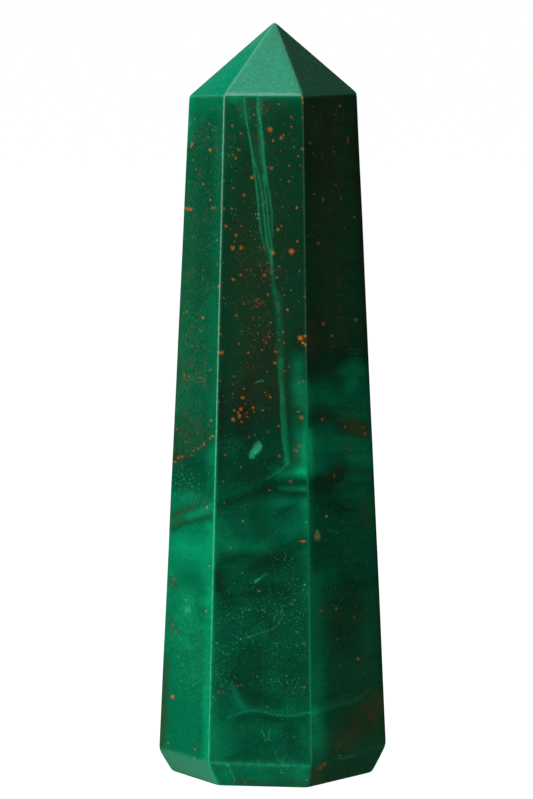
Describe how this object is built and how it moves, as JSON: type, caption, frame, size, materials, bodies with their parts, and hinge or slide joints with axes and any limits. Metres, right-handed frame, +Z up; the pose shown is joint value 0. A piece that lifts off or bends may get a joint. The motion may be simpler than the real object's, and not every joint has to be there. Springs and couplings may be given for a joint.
{
  "type": "bloodstone tower",
  "caption": "Tapered, faceted bloodstone tower with a pyramid point and a bevelled foot, standing on its flat polished base.",
  "frame": {"origin": "on the ground under the middle of the stone's box", "axes": "+Z up along the stone from its base to its point, -Y out of its front facet, +X to that facet's right as it is seen from the front"},
  "size_m": [0.0272, 0.0246, 0.09],
  "materials": {
    "bloodstone": "polished"
  },
  "bodies": {
    "root": {"tower": "bloodstone"}
  },
  "joints": []
}
